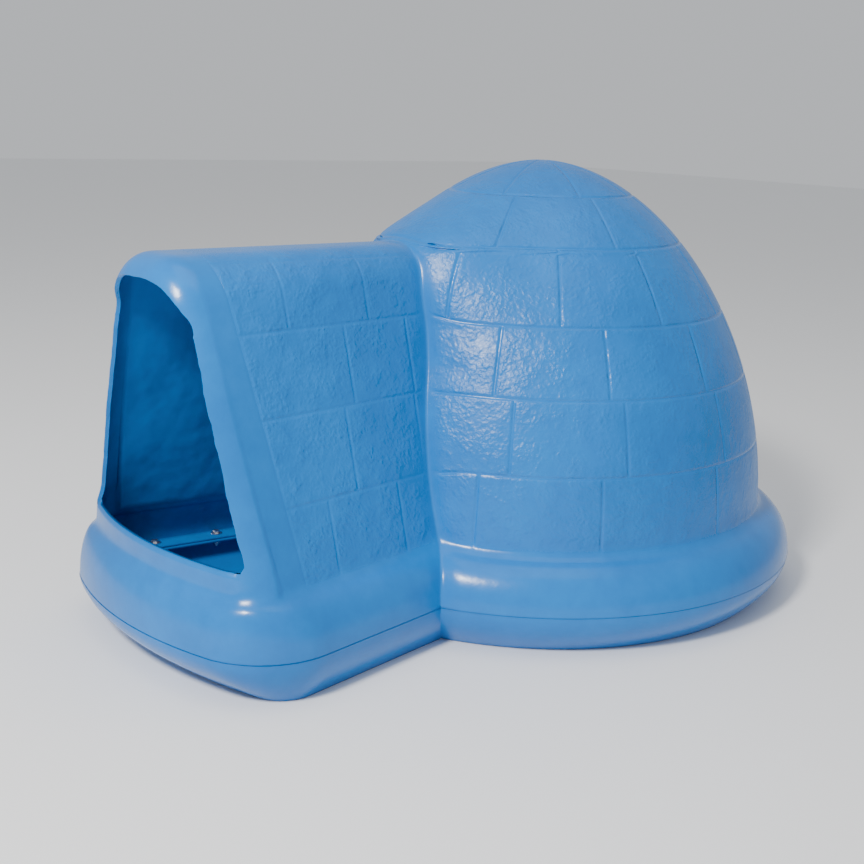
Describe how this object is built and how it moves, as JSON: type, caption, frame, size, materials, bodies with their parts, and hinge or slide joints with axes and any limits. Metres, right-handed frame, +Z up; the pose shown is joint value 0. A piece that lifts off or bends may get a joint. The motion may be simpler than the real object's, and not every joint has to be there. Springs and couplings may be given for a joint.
{
  "type": "igloo shelter",
  "caption": "Dome-shaped moulded plastic animal shelter with a vaulted entrance tunnel and a rounded bumper foot.",
  "frame": {"origin": "centre of the footprint's box, on the ground", "axes": "+Z up, the doorway faces -Y, +X to the right of someone who looks in through the doorway along +Y"},
  "size_m": [0.914, 1.24, 0.692],
  "materials": {
    "shell_plastic": "semi-gloss moulded polyethylene with a fine hammered texture",
    "fasteners": "zinc plated"
  },
  "bodies": {
    "root": {"upper_shell": "shell_plastic", "base_pan": "shell_plastic", "flange_bolts": "fasteners", "flange_washers": "fasteners", "flange_nuts": "fasteners"}
  },
  "joints": []
}
